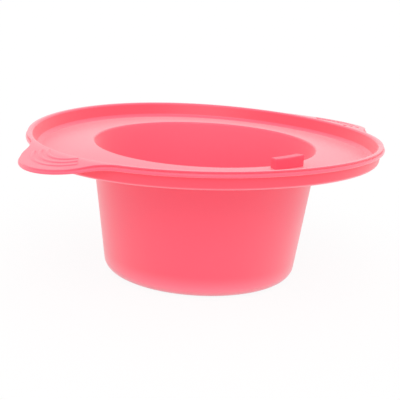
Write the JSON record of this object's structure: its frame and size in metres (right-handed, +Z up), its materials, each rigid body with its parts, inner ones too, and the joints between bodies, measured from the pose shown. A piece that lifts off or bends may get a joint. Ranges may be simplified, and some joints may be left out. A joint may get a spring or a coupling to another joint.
{
  "type": "wax warmer pot",
  "caption": "Soft tapered pot that drops into a wax heater, with a drip tray round its mouth, finger tabs with grip ribs at opposite sides and a low block to rest a spatula on.",
  "frame": {"origin": "on the bowl's axis, at the underside of its floor, which is the middle of the bounding box's bottom", "axes": "+Z up along the bowl's axis; +X along the line through both finger tabs, towards the right tab; the spatula rest is on the -Y side"},
  "size_m": [0.2176, 0.184, 0.0734],
  "materials": {
    "silicone": "satin"
  },
  "bodies": {
    "root": {"bowl_floor": "silicone", "bowl_heel": "silicone", "bowl_wall": "silicone", "mouth_ring": "silicone", "tray_floor": "silicone", "tray_wall": "silicone", "rim_lip": "silicone", "left_tab": "silicone", "right_tab": "silicone", "left_ribs": "silicone", "right_ribs": "silicone", "spatula_rest": "silicone"}
  },
  "joints": []
}
